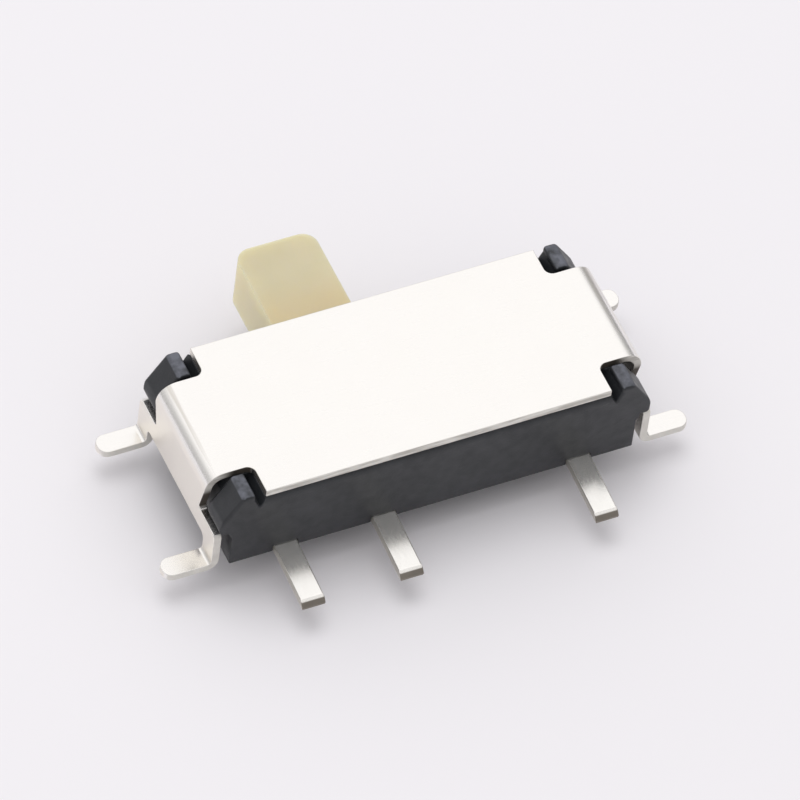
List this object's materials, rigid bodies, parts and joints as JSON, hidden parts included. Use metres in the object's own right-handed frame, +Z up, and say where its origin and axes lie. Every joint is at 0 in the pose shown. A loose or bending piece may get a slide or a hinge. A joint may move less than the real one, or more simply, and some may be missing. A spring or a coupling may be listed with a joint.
{
  "type": "slide switch",
  "caption": "Low surface-mount slide switch with a folded metal cover, a black base with locating pegs, gull-wing solder feet and a knob that slides along its side.",
  "frame": {"origin": "midway between the two locating pegs, on the face of the circuit board", "axes": "+X along the body, in the direction the knob moves from rest; +Y towards the knob; +Z up from the board"},
  "size_m": [0.008, 0.0053, 0.0019],
  "materials": {
    "black_plastic": "moulded, satin",
    "plated_sheet": "tin plated, satin",
    "plated_terminal": "tin plated, satin",
    "cream_plastic": "moulded, satin",
    "contact_bronze": "plain, bright"
  },
  "bodies": {
    "housing": {"base_housing": "black_plastic", "cover": "plated_sheet", "terminal_left": "plated_terminal", "terminal_common": "plated_terminal", "terminal_right": "plated_terminal"},
    "slider": {"slider": "cream_plastic", "contact_clip": "contact_bronze"}
  },
  "joints": [
    {"name": "slider_travel", "type": "slide", "parent": "housing", "child": "slider", "axis": [1, 0, 0], "range_m": [0, 0.0014]}
  ]
}
